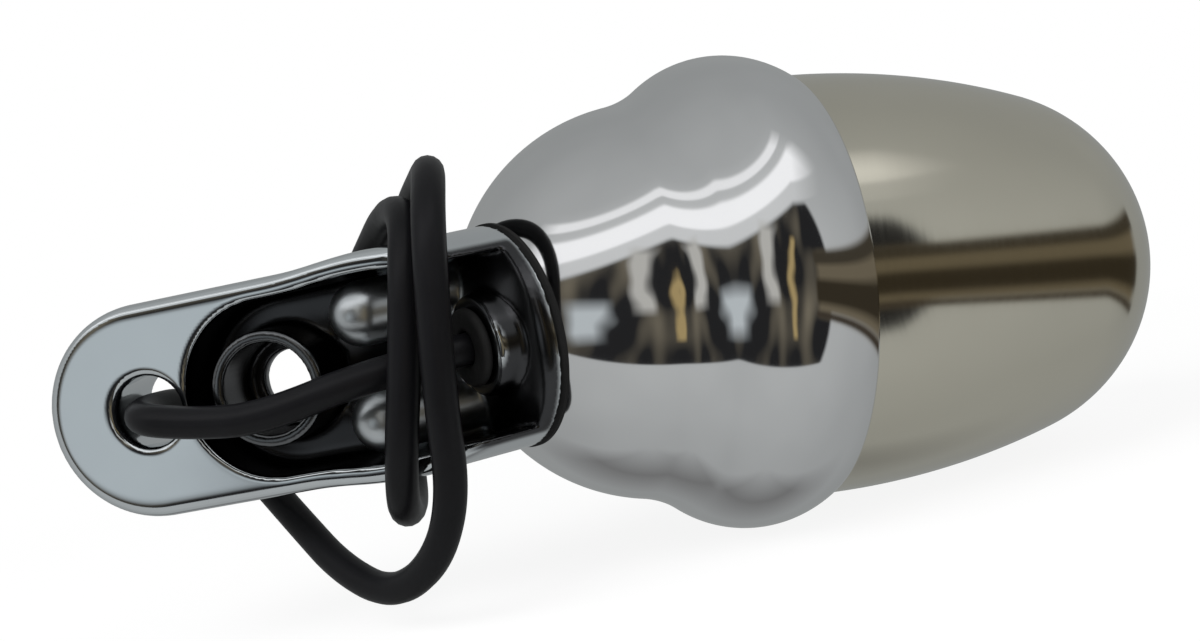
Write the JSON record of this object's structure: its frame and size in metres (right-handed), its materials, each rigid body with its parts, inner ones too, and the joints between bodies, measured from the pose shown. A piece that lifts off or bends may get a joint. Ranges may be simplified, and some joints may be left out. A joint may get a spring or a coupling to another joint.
{
  "type": "auxiliary light",
  "caption": "Bullet-shaped auxiliary light: chromed bell housing and polished shell on a cast trough arm, with a black lead wound round the arm.",
  "frame": {"origin": "where the fixing bolt's axis meets the arm's mounting face", "axes": "+Y out of the mounting surface along the bolt, +X along the arm towards the lamp, +Z across the arm"},
  "size_m": [0.1675, 0.0996, 0.0757],
  "materials": {
    "cast_chrome": "chromed casting, polished",
    "bell_chrome": "bright chrome",
    "shell_steel": "polished sheet steel",
    "rubber": "black rubber",
    "lead_sheath": "black flexible sheath",
    "steel": "zinc-plated steel",
    "reflector_metal": "bright reflector",
    "brass": "plain brass",
    "insulator": "brown moulded insulator",
    "lead_insulation": "thin wire insulation",
    "bulb_clear": "clear bulb glass",
    "filament_wire": "drawn wire",
    "lens_glass": "clear pressed glass"
  },
  "bodies": {
    "root": {"mount_arm": "cast_chrome", "screw_posts": "cast_chrome", "bell_housing": "bell_chrome", "bullet_shell": "shell_steel", "arm_gasket": "rubber", "cord_grommet": "rubber", "shell_seal": "rubber", "lens_seal": "rubber", "lead_cord": "lead_sheath", "backing_plate": "steel", "arm_screws": "steel", "arm_lock_washers": "steel", "spacer_ring": "steel", "lens_ring": "steel", "reflector": "reflector_metal", "bulb_holder": "brass", "contact_pin": "brass", "contact_strip": "brass", "bulb_cap": "brass", "socket_insulator": "insulator", "inner_leads": "lead_insulation", "bulb_glass": "bulb_clear", "bulb_filament": "filament_wire", "lens": "lens_glass"}
  },
  "joints": []
}
